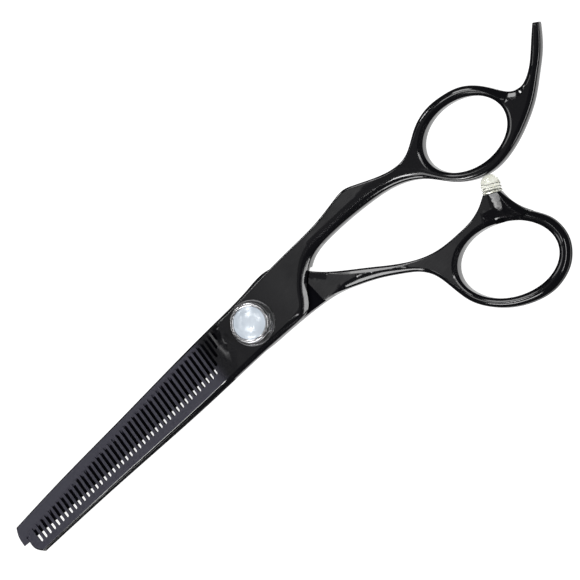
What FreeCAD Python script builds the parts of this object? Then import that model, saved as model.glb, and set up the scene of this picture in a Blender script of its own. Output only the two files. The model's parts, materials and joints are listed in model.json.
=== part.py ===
import FreeCAD, Part
import math
import os

# Thinning shears, closed.  Millimetres.  +X runs from the pivot to the handles, +Y to the finger ring
# side, +Z to the tension dial.  The origin is on the pivot axis, at the back face of the pivot bolt.

Vector = FreeCAD.Vector
Z_AXIS = Vector(0, 0, 1)

# Driving dimensions
HALF_THICKNESS = 2.5        # plates, shanks and rings, each side of the plane the levers slide in
RIDE_GAP = 0.08             # clearance between the levers at that plane
EDGE_ROUND = 0.8            # rounding of shanks, rings and plate edges
LONG_OUTLINE = 250.0        # each lever's outline is longer than this and every other edge is shorter

GRIND_START_X = -80.0       # beyond both tips
GRIND_RUN_OUT = 4.0         # length of the round in which a ground face runs out of the plate
GRIND_RADIUS = 4.74         # radius of that round
GRIND_SPINE = 5.0           # a ground face tilts about a line this far from the pivot axis, by the spine

TANG_HALF_THICKNESS = 1.9
TANG_ROUND = 0.7
STUB_HALF_THICKNESS = 2.1
STUB_ROUND = 0.5

TEETH_SLOTS = 46
SLOT_PITCH = 1.367
FIRST_SLOT_X = -70.2        # slot nearest the tip
SLOT_WIDTH = 0.72
SLOT_LEAN = 5.0             # degrees, slot mouths lean towards the pivot
GULLET_Y = -1.8             # slot bottom at the first slot
GULLET_SLOPE = -0.0206      # slot bottoms fall away towards the pivot
RUN_OUT_X = -14.4           # from here the slots get shorter
RUN_OUT_SLOPE = 1.08        # rise of their bottoms for each millimetre
SLOT_REACH = 12.0           # slots are cut this far past their bottoms, clear of the teeth

BOLT_HEAD_RADIUS = 4.6
BOLT_HEAD_THICKNESS = 1.0
BOLT_HEAD_PROUD = 0.5       # the head stands this far out of the thumb lever's back
BOLT_HEAD_CHAMFER = 0.3
SEAT_CLEARANCE = 0.1        # round the bolt's head and the blade washer
NECK_RADIUS = 2.9
NECK_FLAT = 2.3             # half distance across the neck's flats
JOURNAL_RADIUS = 2.5
STEM_RADIUS = 2.0
THREAD_PITCH = 0.5
THREAD_DEPTH = 0.12
STEM_SHORT = 0.2            # the stem ends this far below the lock ring's top
RUNNING_CLEARANCE = 0.05
BUSHING_RADIUS = 3.4
BUSHING_SHORT = 0.05        # the bushing ends this far inside the finger lever
BLADE_WASHER_RADIUS = 5.2
BLADE_WASHER_THICKNESS = 0.35
BLADE_WASHER_PROUD = 0.06   # above the thumb lever's inner face

DISC_RADIUS = 5.35
DISC_THICKNESS = 0.3
DISC_CHAMFER = 0.08
SPRING_HEIGHT = 0.45
SPRING_THICKNESS = 0.18
SPRING_RADIUS = 3.9
SPRING_WAVES = 3
SPRING_CLEARANCE = 0.005
SPRING_BORE_CLEARANCE = 0.15
THRUST_THICKNESS = 0.25
DIAL_RADIUS = 5.0
DIAL_GAP = 0.25             # below the dial, so that it can be screwed down
DIAL_HEIGHT = 1.85
DIAL_CHAMFER = 0.3
DIAL_RECESS_RADIUS = 4.2
KNURL_TEETH = 90
KNURL_DEPTH = 0.16
INSERT_RADIUS = 3.1
INSERT_HEIGHT = 0.7
LOCK_RING_HEIGHT = 0.3
BEZEL_RADIUS = 4.55
BEZEL_HEIGHT = 0.85
BEZEL_ROUND = 0.3
PEARL_RADIUS = 3.75
PEARL_HEIGHT = 1.45
PEARL_SIDE = 0.35           # height of the pearl's straight side, under its dome
PEARL_CLEARANCE = 0.02

BUMPER_RADIUS = 2.35
BUMPER_RIBS = 3
BUMPER_RIB_DEPTH = 0.3
BUMPER_COLLAR = 2.3         # length of the ribbed collar
BUMPER_LENGTH = 4.38        # from the stub face to the top of the dome
BUMPER_DOME_STEP = 0.1      # the dome's foot is this much smaller in radius than the ribs
BUMPER_STEM_RADIUS = 1.2
BUMPER_STEM_LENGTH = 4.9
BUMPER_STEM_CHAMFER = 0.3
BUMPER_HOLE_RADIUS = 1.25
BUMPER_HOLE_LENGTH = 10.0   # from the stub face, right through the ring's band

# Worked out from these
RIDE_Z = BOLT_HEAD_PROUD + HALF_THICKNESS
LEVER_TOP = RIDE_Z + HALF_THICKNESS
LEVER_BOTTOM = RIDE_Z - HALF_THICKNESS
FINGER_INNER = RIDE_Z + RIDE_GAP / 2
THUMB_INNER = RIDE_Z - RIDE_GAP / 2
WASHER_SEAT = THUMB_INNER - BLADE_WASHER_THICKNESS + BLADE_WASHER_PROUD
DISC_TOP = LEVER_TOP + DISC_THICKNESS
THRUST_Z = DISC_TOP + SPRING_HEIGHT + SPRING_CLEARANCE
DIAL_WEB_Z = THRUST_Z + THRUST_THICKNESS
DIAL_BOTTOM = DISC_TOP + DIAL_GAP
DIAL_TOP = DIAL_BOTTOM + DIAL_HEIGHT
INSERT_TOP = DIAL_WEB_Z + INSERT_HEIGHT
LOCK_RING_TOP = INSERT_TOP + LOCK_RING_HEIGHT
STEM_TOP = LOCK_RING_TOP - STEM_SHORT
FAR = 100.0                 # outside the object in every direction, for cutting tools

# Finger lever: from the comb's tip along the spine, round the finger ring and back to the comb's heel
FINGER_EDGE = [
    (-71.3, -3.8), (-49.0, -4.6), (-19.8, -6.0), (4.5, -6.8), (9.6, -6.95), (11.3, -6.6), (12.3, -5.8),
    (14.1, -3.3), (16.4, -1.0), (19.8, 1.2), (26.5, 2.15), (38.2, 1.35), (43.1, 0.5), (48.0, -1.35),
    (51.0, -3.4), (53.0, -5.45), (56.0, -9.1), (59.0, -11.5), (61.9, -12.85), (65.8, -13.5), (70.0, -13.1),
    (74.6, -11.3), (77.6, -8.0), (78.5, -4.4), (77.5, -0.9), (74.3, 3.7), (71.2, 6.0), (67.1, 7.25),
    (63.2, 7.65), (60.2, 7.2), (57.3, 6.0), (53.8, 3.85), (51.8, 2.95), (49.7, 2.65), (47.0, 3.0),
    (43.0, 4.4), (38.4, 6.55), (36.2, 7.35), (33.3, 7.25), (27.0, 6.4), (19.0, 6.2), (5.4, 6.0),
    (-2.3, 5.65), (-7.4, 5.75),
]
COMB_TIP = [(-72.6, -2.0), (-72.55, 0.6), (-71.9, 1.9)]
TOOTH_TIPS = [(-71.2, 2.05), (-49.0, 3.55), (-30.0, 4.75), (-12.4, 5.5), (-7.4, 5.75)]

# Holes are centre x, y, long and short half-axis, and tilt in degrees
FINGER_HOLE = (65.25, -3.0, 10.55, 7.85, -10.0)

# Tang: upper side from the ring to its tip, then the lower side back
TANG_UPPER = [(75.6, -1.6), (78.4, -2.4), (80.2, -3.6), (82.2, -3.9), (84.9, -3.0), (90.6, 1.6), (93.9, 4.6)]
TANG_LOWER = [(95.2, 3.7), (91.6, -0.7), (86.9, -4.7), (82.2, -8.2), (77.4, -10.7), (73.0, -12.4)]

# Thumb lever: from the blade's spine at the tip, round the thumb ring and back to the heel
THUMB_EDGE = [
    (-72.85, 4.85), (-59.0, 5.5), (-39.6, 5.9), (-7.6, 6.5), (4.0, 6.75), (10.0, 6.75), (12.4, 5.7),
    (14.6, 3.3), (17.6, -0.5), (20.9, -3.8), (28.8, -9.9), (35.8, -14.95), (39.7, -16.9), (43.7, -18.0),
    (48.5, -18.4), (53.0, -18.3), (57.5, -19.2), (61.2, -21.9), (64.5, -26.3), (66.5, -29.8), (67.1, -33.2),
    (66.5, -36.5), (64.8, -39.2), (61.9, -41.5), (59.0, -42.5), (56.1, -42.8), (53.1, -42.35),
    (49.2, -40.85), (45.3, -38.3), (42.3, -35.1), (40.3, -31.7), (39.4, -28.3), (39.0, -24.9),
    (37.9, -20.7), (35.9, -18.1), (32.9, -15.8), (28.9, -13.2), (24.0, -10.7), (19.1, -8.6), (16.2, -7.9),
    (11.3, -7.2), (4.0, -6.6), (-3.0, -6.0), (-7.0, -4.6), (-9.6, -2.0),
]
CUTTING_EDGE = [(-11.5, -1.1), (-39.0, -1.05), (-59.0, -0.6), (-74.3, 0.55)]
PLAIN_TIP = (-73.85, 3.0)
THUMB_HOLE = (53.15, -30.65, 12.1, 8.6, -29.0)

# Stub for the bumper on the thumb ring, and the two ends of its flat end face
STUB_FACE = [(58.9, -16.1), (62.25, -17.9)]
STUB = [(53.5, -18.6), (56.2, -17.45)] + STUB_FACE + [(62.45, -20.6), (64.2, -25.4), (60.0, -23.0)]
# Where each lever stops short of the other one's side of the ride plane
FINGER_SHOULDER = [(16.2, 30.0), (16.2, 2.7), (17.3, 1.3), (18.5, -0.2), (18.5, -30.0)]
THUMB_SHOULDER = [(15.7, -30.0), (15.7, -2.5), (17.0, -1.3), (18.3, -0.3), (18.3, 30.0)]


def at(x, y, z=0.0):
    return Vector(x, y, z)


def spline(points, z):
    """A smooth open curve through points at height z."""
    curve = Part.BSplineCurve()
    curve.interpolate([at(x, y, z) for x, y in points])
    return curve.toShape()


def straight(start, end, z):
    return Part.makeLine(at(*start, z), at(*end, z))


def solid_from(edges, height):
    """The closed outline of edges, extruded up by height."""
    wire = Part.Wire(Part.__sortEdges__(edges))
    return Part.Face(wire).extrude(at(0, 0, height))


def polygon_solid(points, low, high):
    closed = [at(x, y, low) for x, y in points + points[:1]]
    return Part.Face(Part.makePolygon(closed)).extrude(at(0, 0, high - low))


def disc(radius, low, high):
    return Part.makeCylinder(radius, high - low, at(0, 0, low))


def ring(outer, inner, low, high):
    return disc(outer, low, high).cut(disc(inner, low, high))


def ellipse_solid(hole, low, high):
    x, y, long_axis, short_axis, tilt = hole
    ellipse = Part.Ellipse(at(0, 0, low), long_axis, short_axis).toShape()
    prism = Part.Face(Part.Wire(ellipse)).extrude(at(0, 0, high - low))
    prism.rotate(at(0, 0), Z_AXIS, tilt)
    prism.translate(at(x, y))
    return prism


def double_d(radius, half_flat, low, high):
    """A round bar with two flats."""
    flats = Part.makeBox(4 * radius, 2 * half_flat, high - low, at(-2 * radius, -half_flat, low))
    return disc(radius, low, high).common(flats)


def turned(profile):
    """A solid of revolution about Z from (radius, z) points."""
    closed = [at(radius, 0, z) for radius, z in profile + profile[:1]]
    return Part.Face(Part.makePolygon(closed)).revolve(at(0, 0), Z_AXIS, 360)


def is_rim(edge, long_enough=4.0):
    """True for an edge that lies in one level plane, on the top or bottom rim of an extrusion."""
    box = edge.BoundBox
    return box.ZLength < 1e-6 and edge.Length > long_enough


def is_above(edge, z):
    return edge.BoundBox.ZMin > z + 1e-6


def is_hole_rim(edge, hole):
    centre = edge.BoundBox.Center
    return abs(centre.x - hole[0]) < 1.0 and abs(centre.y - hole[1]) < 1.0


def rounded_lever(outline, hole):
    """A lever blank of full thickness with a ring hole, its outline's rims and its hole's rims rounded."""
    blank = solid_from(outline(LEVER_BOTTOM), 2 * HALF_THICKNESS)
    blank = blank.cut(ellipse_solid(hole, LEVER_BOTTOM, LEVER_TOP))
    rims = [edge for edge in blank.Edges if is_rim(edge)]
    rounded = [edge for edge in rims if edge.Length > LONG_OUTLINE or is_hole_rim(edge, hole)]
    return blank.makeFillet(EDGE_ROUND, rounded)


def finger_outline(z):
    tip = [FINGER_EDGE[0]] + COMB_TIP + [TOOTH_TIPS[0]]
    return [
        spline(FINGER_EDGE, z),
        spline(tip, z),
        spline(TOOTH_TIPS, z),
    ]


def thumb_outline(z):
    tip = Part.Arc(at(*CUTTING_EDGE[-1], z), at(*PLAIN_TIP, z), at(*THUMB_EDGE[0], z)).toShape()
    return [
        spline(THUMB_EDGE, z),
        straight(THUMB_EDGE[-1], CUTTING_EDGE[0], z),
        spline(CUTTING_EDGE, z),
        tip,
    ]


def comb_slots():
    """All the slots of the comb, each with a round bottom."""
    slots = []
    for number in range(TEETH_SLOTS):
        x = FIRST_SLOT_X + number * SLOT_PITCH
        bottom_y = GULLET_Y + GULLET_SLOPE * (x - FIRST_SLOT_X) + max(0.0, RUN_OUT_SLOPE * (x - RUN_OUT_X))
        bottom_y += SLOT_WIDTH / 2
        low = at(x - SLOT_WIDTH / 2, bottom_y, LEVER_BOTTOM)
        slot = Part.makeBox(SLOT_WIDTH, SLOT_REACH, 2 * HALF_THICKNESS, low)
        gullet = Part.makeCylinder(SLOT_WIDTH / 2, 2 * HALF_THICKNESS, at(x, bottom_y, LEVER_BOTTOM))
        slot = slot.fuse(gullet)
        slot.rotate(at(x, 0), Z_AXIS, -SLOT_LEAN)
        slots.append(slot)
    return Part.makeCompound(slots)


def run_out_rise(run):
    """Height that the round at the end of a ground face has gained after a run."""
    return GRIND_RADIUS - math.sqrt(GRIND_RADIUS ** 2 - run ** 2)


def blade_grind(tip_height, heel_height, heel_x, edge_fall):
    """Everything above a ground face of the blade, with the plane the levers slide in at z = 0.

    The face rises from tip_height at its start to heel_height at heel_x, where a round runs out of the
    plate, and falls by edge_fall degrees from the spine to the cutting side (+Y).
    """
    start = at(GRIND_START_X, 0, tip_height)
    heel = at(heel_x, 0, heel_height)
    middle = at(heel_x + GRIND_RUN_OUT / 2, 0, heel_height + run_out_rise(GRIND_RUN_OUT / 2))
    crest = at(heel_x + GRIND_RUN_OUT, 0, heel_height + run_out_rise(GRIND_RUN_OUT))
    edges = [
        Part.makeLine(start, heel),
        Part.Arc(heel, middle, crest).toShape(),
        Part.makeLine(crest, at(crest.x, 0, FAR)),
        Part.makeLine(at(crest.x, 0, FAR), at(start.x, 0, FAR)),
        Part.makeLine(at(start.x, 0, FAR), start),
    ]
    tool = Part.Face(Part.Wire(edges)).extrude(at(0, FAR, 0))
    tool.translate(at(0, -FAR / 2, 0))
    tool.rotate(at(0, -GRIND_SPINE, heel_height), Vector(1, 0, 0), -edge_fall)
    return tool


def side_of_ride_plane(shoulder, low, high):
    """A block over the blade and plate, up to the shoulder line, between two heights."""
    return polygon_solid([(-FAR, shoulder[0][1])] + shoulder + [(-FAR, shoulder[-1][1])], low, high)


def along_bumper(shape):
    """Moves a shape that was turned about Z onto the bumper's axis, its z = 0 on the stub's face."""
    (left, upper), (right, lower) = STUB_FACE
    square_to_face = math.degrees(math.atan2(right - left, upper - lower))
    shape.rotate(at(0, 0), Vector(0, 1, 0), 90)
    shape.rotate(at(0, 0), Z_AXIS, square_to_face)
    shape.translate(at((left + right) / 2, (upper + lower) / 2, RIDE_Z))
    return shape


def tang():
    low = RIDE_Z - TANG_HALF_THICKNESS
    edges = [
        spline(TANG_UPPER, low),
        straight(TANG_UPPER[-1], TANG_LOWER[0], low),
        spline(TANG_LOWER, low),
        straight(TANG_LOWER[-1], TANG_UPPER[0], low),
    ]
    blank = solid_from(edges, 2 * TANG_HALF_THICKNESS)
    long_rims = [edge for edge in blank.Edges if is_rim(edge, 15.0)]
    return blank.makeFillet(TANG_ROUND, long_rims)


def finger_lever():
    lever = rounded_lever(finger_outline, FINGER_HOLE)
    tang_end = tang().cut(ellipse_solid(FINGER_HOLE, LEVER_BOTTOM, LEVER_TOP))
    lever = lever.fuse(tang_end)
    lever = lever.cut(side_of_ride_plane(FINGER_SHOULDER, -FAR, FINGER_INNER))
    grind = blade_grind(tip_height=1.45, heel_height=2.5, heel_x=-11.0, edge_fall=8.5)
    grind.translate(at(0, 0, RIDE_Z))
    lever = lever.cut(grind)
    lever = lever.cut(comb_slots())
    return lever.cut(disc(BUSHING_RADIUS, 0, FAR))


def stub():
    low = RIDE_Z - STUB_HALF_THICKNESS
    blank = polygon_solid(STUB, low, low + 2 * STUB_HALF_THICKNESS)
    rims = [edge for edge in blank.Edges if is_rim(edge, 1.0)]
    return blank.makeFillet(STUB_ROUND, rims)


def thumb_lever():
    lever = rounded_lever(thumb_outline, THUMB_HOLE)
    lever = lever.fuse(stub().cut(ellipse_solid(THUMB_HOLE, LEVER_BOTTOM, LEVER_TOP)))
    lever = lever.cut(side_of_ride_plane(THUMB_SHOULDER, THUMB_INNER, FAR))
    grind = blade_grind(tip_height=1.4, heel_height=2.45, heel_x=-12.0, edge_fall=15.0)
    grind.rotate(at(0, 0), Vector(1, 0, 0), 180)
    grind.translate(at(0, 0, RIDE_Z))
    lever = lever.cut(grind)
    lever = lever.cut(disc(BOLT_HEAD_RADIUS + SEAT_CLEARANCE, 0, BOLT_HEAD_THICKNESS))
    lever = lever.cut(double_d(NECK_RADIUS, NECK_FLAT, 0, RIDE_Z))
    lever = lever.cut(disc(BLADE_WASHER_RADIUS + SEAT_CLEARANCE, WASHER_SEAT, FAR))
    return lever.cut(along_bumper(disc(BUMPER_HOLE_RADIUS, -BUMPER_HOLE_LENGTH, BUMPER_RADIUS)))


def threaded(radius, low, high):
    """A round bar with thread grooves of 90 degrees."""
    outside = radius + THREAD_DEPTH
    grooves = []
    for turn in range(int((high - low) / THREAD_PITCH)):
        z = low + (turn + 0.5) * THREAD_PITCH
        half = outside - (radius - THREAD_DEPTH)
        grooves.append(turned([(radius - THREAD_DEPTH, z), (outside, z - half), (outside, z + half)]))
    return disc(radius, low, high).cut(Part.makeCompound(grooves))


def pivot_bolt():
    head = turned([
        (0, 0), (BOLT_HEAD_RADIUS - BOLT_HEAD_CHAMFER, 0), (BOLT_HEAD_RADIUS, BOLT_HEAD_CHAMFER),
        (BOLT_HEAD_RADIUS, BOLT_HEAD_THICKNESS), (0, BOLT_HEAD_THICKNESS),
    ])
    neck = double_d(NECK_RADIUS, NECK_FLAT, BOLT_HEAD_THICKNESS, WASHER_SEAT)
    journal = disc(JOURNAL_RADIUS, WASHER_SEAT, DISC_TOP)
    stem = threaded(STEM_RADIUS, DISC_TOP, STEM_TOP)
    return head.fuse([neck, journal, stem]).removeSplitter()


def pivot_bushing():
    return ring(BUSHING_RADIUS, JOURNAL_RADIUS + RUNNING_CLEARANCE, FINGER_INNER + BUSHING_SHORT, LEVER_TOP)


def blade_washer():
    top = WASHER_SEAT + BLADE_WASHER_THICKNESS
    return ring(BLADE_WASHER_RADIUS, JOURNAL_RADIUS + RUNNING_CLEARANCE, WASHER_SEAT, top)


def base_disc():
    blank = ring(DISC_RADIUS, JOURNAL_RADIUS + RUNNING_CLEARANCE, LEVER_TOP, DISC_TOP)
    outer_rims = [edge for edge in blank.Edges if is_rim(edge, 2 * math.pi * DISC_RADIUS - 1)]
    return blank.makeChamfer(DISC_CHAMFER, [edge for edge in outer_rims if is_above(edge, LEVER_TOP)])


def wavy_circle(radius):
    """A closed curve of one radius that rises and falls in even waves above the base disc."""
    rise = (SPRING_HEIGHT - SPRING_THICKNESS) / 2
    count = SPRING_WAVES * 8
    points = []
    for number in range(count):
        angle = 2 * math.pi * number / count
        z = DISC_TOP + rise * (1 + math.cos(SPRING_WAVES * angle))
        points.append(at(radius * math.cos(angle), radius * math.sin(angle), z))
    curve = Part.BSplineCurve()
    curve.interpolate(points, PeriodicFlag=True)
    return curve.toShape()


def wave_spring():
    """A washer pressed into waves."""
    inner = wavy_circle(JOURNAL_RADIUS + SPRING_BORE_CLEARANCE)
    outer = wavy_circle(SPRING_RADIUS)
    return Part.makeRuledSurface(inner, outer).extrude(at(0, 0, SPRING_THICKNESS))


def thrust_washer():
    return ring(SPRING_RADIUS, STEM_RADIUS + 2 * RUNNING_CLEARANCE, THRUST_Z, DIAL_WEB_Z)


def knurled_disc(low, high):
    points = []
    for tooth in range(KNURL_TEETH):
        for half, radius in enumerate((DIAL_RADIUS, DIAL_RADIUS - KNURL_DEPTH)):
            angle = 2 * math.pi * (tooth + 0.5 * half) / KNURL_TEETH
            points.append((radius * math.cos(angle), radius * math.sin(angle)))
    blank = polygon_solid(points, low, high)
    face = DIAL_RADIUS - DIAL_CHAMFER
    chamfered = turned([
        (0, low), (face, low), (DIAL_RADIUS, low + DIAL_CHAMFER),
        (DIAL_RADIUS, high - DIAL_CHAMFER), (face, high), (0, high),
    ])
    return blank.common(chamfered)


def tension_dial():
    dial = knurled_disc(DIAL_BOTTOM, DIAL_TOP)
    dial = dial.cut(disc(DIAL_RECESS_RADIUS, 0, DIAL_WEB_Z))
    return dial.cut(disc(INSERT_RADIUS, 0, LOCK_RING_TOP))


def dial_insert():
    return ring(INSERT_RADIUS, STEM_RADIUS + RUNNING_CLEARANCE, DIAL_WEB_Z, INSERT_TOP)


def lock_ring():
    return ring(INSERT_RADIUS, STEM_RADIUS + RUNNING_CLEARANCE, INSERT_TOP, LOCK_RING_TOP)


def dial_bezel():
    blank = ring(BEZEL_RADIUS, PEARL_RADIUS + PEARL_CLEARANCE, DIAL_TOP, DIAL_TOP + BEZEL_HEIGHT)
    top_rims = [edge for edge in blank.Edges if is_rim(edge) and is_above(edge, DIAL_TOP)]
    return blank.makeFillet(BEZEL_ROUND, top_rims)


def dome(radius, low, high):
    """A ball's cap that is radius wide at low and closes at high."""
    rise = high - low
    ball_radius = (radius ** 2 + rise ** 2) / (2 * rise)
    return Part.makeSphere(ball_radius, at(0, 0, high - ball_radius))


def pearl():
    """A low dome on a short straight side."""
    cap = dome(PEARL_RADIUS, DIAL_TOP + PEARL_SIDE, DIAL_TOP + PEARL_HEIGHT)
    return disc(PEARL_RADIUS, DIAL_TOP, DIAL_TOP + 2 * PEARL_HEIGHT).common(cap)


def bumper_collar():
    """The stem and the ribbed collar, turned about Z, with the collar's foot at z = 0."""
    pitch = BUMPER_COLLAR / BUMPER_RIBS
    root = BUMPER_RADIUS - BUMPER_RIB_DEPTH
    profile = [
        (0, -BUMPER_STEM_LENGTH),
        (BUMPER_STEM_RADIUS - BUMPER_STEM_CHAMFER, -BUMPER_STEM_LENGTH),
        (BUMPER_STEM_RADIUS, BUMPER_STEM_CHAMFER - BUMPER_STEM_LENGTH),
        (BUMPER_STEM_RADIUS, 0),
    ]
    for rib in range(BUMPER_RIBS):
        foot = rib * pitch
        profile += [(root, foot), (BUMPER_RADIUS, foot + pitch / 3), (BUMPER_RADIUS, foot + 2 * pitch / 3)]
    profile += [(root, BUMPER_COLLAR), (0, BUMPER_COLLAR)]
    return turned(profile)


def bumper():
    """Stem, ribbed collar and dome, laid along the stub's axis."""
    foot_radius = BUMPER_RADIUS - BUMPER_DOME_STEP
    cap = dome(foot_radius, BUMPER_COLLAR, BUMPER_LENGTH)
    cap = cap.common(disc(foot_radius, BUMPER_COLLAR, 2 * BUMPER_LENGTH))
    return along_bumper(bumper_collar().fuse(cap))


SUB_PARTS = [
    finger_lever, thumb_lever, pivot_bolt, pivot_bushing, blade_washer, base_disc, wave_spring,
    thrust_washer, tension_dial, dial_insert, lock_ring, dial_bezel, pearl, bumper,
]

os.makedirs("parts", exist_ok=True)
for make in SUB_PARTS:
    shape = make()
    print(make.__name__, "solids:", len(shape.Solids), "valid:", shape.isValid())
    shape.exportStep("parts/" + make.__name__ + ".step")
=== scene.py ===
from collections import namedtuple
import json
import math

import bpy
import numpy as np
from mathutils import Matrix, Vector, kdtree
from mathutils.geometry import delaunay_2d_cdt


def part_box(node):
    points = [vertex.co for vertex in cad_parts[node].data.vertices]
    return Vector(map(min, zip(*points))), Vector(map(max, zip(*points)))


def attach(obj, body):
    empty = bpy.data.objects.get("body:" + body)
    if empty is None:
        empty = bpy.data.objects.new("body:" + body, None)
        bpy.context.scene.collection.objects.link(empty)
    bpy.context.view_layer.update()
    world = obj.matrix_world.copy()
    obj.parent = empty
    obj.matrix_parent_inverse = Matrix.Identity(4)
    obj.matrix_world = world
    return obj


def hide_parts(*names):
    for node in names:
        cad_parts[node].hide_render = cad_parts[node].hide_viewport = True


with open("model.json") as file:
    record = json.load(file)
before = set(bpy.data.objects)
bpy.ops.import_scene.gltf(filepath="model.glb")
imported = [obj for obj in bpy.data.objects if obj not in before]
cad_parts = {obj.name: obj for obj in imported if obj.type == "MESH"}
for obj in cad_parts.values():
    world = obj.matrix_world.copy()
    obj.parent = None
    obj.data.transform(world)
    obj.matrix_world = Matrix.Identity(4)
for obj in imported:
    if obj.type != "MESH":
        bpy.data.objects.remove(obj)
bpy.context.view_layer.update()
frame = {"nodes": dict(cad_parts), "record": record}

MM = 0.001

# --- view, in metres --------------------------------------------------------------------------------

VIEW_TURN = math.radians(43.6)  # the object's +X above the picture's right, seen square on
VIEW_TILT = math.radians(14.0)  # the camera leans this far to the picture's right
PICTURE_WIDTH = 131.8 * MM      # at the ride plane
CAMERA_DISTANCE = 5.0
AIM_RIGHT = 8.2 * MM            # picture's centre from the pivot
AIM_UP = 7.5 * MM
CENTRE = Vector((0.012, -0.008, 0.003))     # the place that the lights face

# --- sizes of the levers, in millimetres ------------------------------------------------------------

lever_low, lever_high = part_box("finger_lever")
LEVER_BOTTOM = round(lever_low[2] / MM, 2)
LEVER_TOP = round(lever_high[2] / MM, 2)
RIDE = 3.0                  # height of the plane in which the levers slide on each other
FINGER_INNER = 3.04         # the inner faces stand a little off that plane
THUMB_INNER = 2.96
PIVOT_BORE_RADIUS = 3.4
PLATE_END_X = -7.0          # the finger lever's pivot plate ends here and its blade begins
PLATE_END_X_BELOW = -8.0    # the same on the thumb lever's underside
RING_LEAN_X = 42.0          # the finger ring's top leans down from here
RING_LEAN = 0.026

TEETH_SLOTS = 46
TOOTH_STEP = 0.2            # between the samples along the curve of the teeth's ends
TOOTH_WALL_STEP = 0.8       # between the points down a slot's wall
SLOT_PITCH = 1.367
FIRST_SLOT_X = -70.2
SLOT_WIDTH = 0.72
SLOT_LEAN = 5.0             # degrees
GULLET_Y = -1.8             # bottom of the first slot
GULLET_SLOPE = -0.0206      # of the line of slot bottoms
RUN_OUT_X = -14.4           # the slots get shorter from here to the heel
RUN_OUT_SLOPE = 1.08

# A ground face has its heights over the ride plane at its tip and at its heel along the line level_y, and
# slopes across the blade
Grind = namedtuple("Grind", "tip heel heel_x level_y slope")
COMB_GRIND = Grind(tip=1.45, heel=2.5, heel_x=-11.0, level_y=-5.0, slope=math.tan(math.radians(8.5)))
BLADE_GRIND = Grind(tip=1.4, heel=2.45, heel_x=-12.0, level_y=5.0, slope=math.tan(math.radians(15.0)))
GRIND_LENGTH = 80.0         # from the pivot to where a grind has its tip's height
GRIND_ROUND = 4.0           # length of the round in which a grind runs out at its heel
GRIND_ROUND_HEIGHT = 2.2

# --- outlines ---------------------------------------------------------------------------------------
# Each outline point is x, y, the width of the rounding along the edge there, all in millimetres, and
# how the edge is made there, as edge_drop says.  The finger lever's outline runs anticlockwise and the
# thumb lever's clockwise.

COMB_SPINE = [
    (-71.3, -3.8, 0.5, 1), (-49.0, -4.6, 0.7, 1), (-19.8, -6.0, 0.95, 1), (4.5, -6.8, 1.25, 1),
    (9.6, -6.95, 1.7, 0), (11.3, -6.6, 2.0, -1), (12.3, -5.8, 2.0, -1), (14.1, -3.3, 2.0, -1),
    (16.4, -1.0, 2.1, -1), (19.8, 1.2, 2.3, -0.7), (26.5, 2.15, 2.3, 0), (38.2, 1.35, 2.85, 0),
    (43.1, 0.5, 2.85, 0), (48.0, -1.35, 2.6, 0), (51.0, -3.4, 2.4, 0), (53.0, -5.45, 2.3, 0),
    (56.0, -9.1, 1.9, 0), (59.0, -11.5, 1.9, 0), (61.9, -12.85, 1.8, 0), (65.8, -13.5, 1.8, 0),
    (70.0, -13.1, 1.9, 0), (77.4, -10.7, 2.1, 0), (82.2, -8.2, 2.1, 0), (86.9, -4.7, 1.9, 0),
    (91.6, -0.7, 1.5, 0), (95.2, 3.7, 0.8, 0),
]
TANG_TIP = [(95.2, 3.7, 0.8, 0), (93.9, 4.6, 0.8, 0)]
FINGER_TOP_EDGE = [
    (93.9, 4.6, 0.8, 0), (90.6, 1.6, 1.0, 0), (84.9, -3.0, 1.3, 0), (82.2, -3.9, 1.5, 0),
    (80.2, -3.6, 1.9, 2), (78.7, -2.4, 2.1, 2), (77.3, -0.4, 1.7, 1), (74.3, 3.7, 1.7, 0),
    (71.2, 6.0, 1.7, 0), (67.1, 7.25, 1.7, 0), (63.2, 7.65, 1.7, 0), (60.2, 7.2, 1.5, 0),
    (57.3, 6.0, 1.1, 0), (53.8, 3.85, 0.7, 0), (51.8, 2.95, 0.6, 0), (49.7, 2.65, 0.6, 0),
    (47.0, 3.0, 0.6, 0), (43.0, 4.4, 0.6, 0), (38.4, 6.55, 0.6, 0), (36.2, 7.35, 0.6, 0),
    (33.3, 7.25, 0.55, 0), (27.0, 6.4, 0.5, 0), (19.0, 6.2, 0.45, 0), (5.4, 6.0, 0.4, 0),
    (-2.3, 5.65, 0.35, 0), (-6.3, 5.72, 0.4, 0), (-6.6, 5.74, 1.1, 1), (-7.4, 5.75, 1.2, 1),
]
TOOTH_TIPS = [
    (-7.4, 5.75, 0, 0), (-12.4, 5.5, 0, 0), (-30.0, 4.75, 0, 0), (-49.0, 3.55, 0, 0),
    (-71.2, 2.05, 0, 0),
]
COMB_TIP = [
    (-71.2, 2.05, 0, 0), (-71.9, 1.9, 0, 0), (-72.55, 0.6, 0.1, 0), (-72.6, -2.0, 0.2, 0),
    (-71.3, -3.8, 0.35, 0),
]
# Holes are x, y, the two half axes and the tilt in degrees
FINGER_HOLE = (65.25, -3.0, 10.55, 7.85, -10.0)

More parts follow.
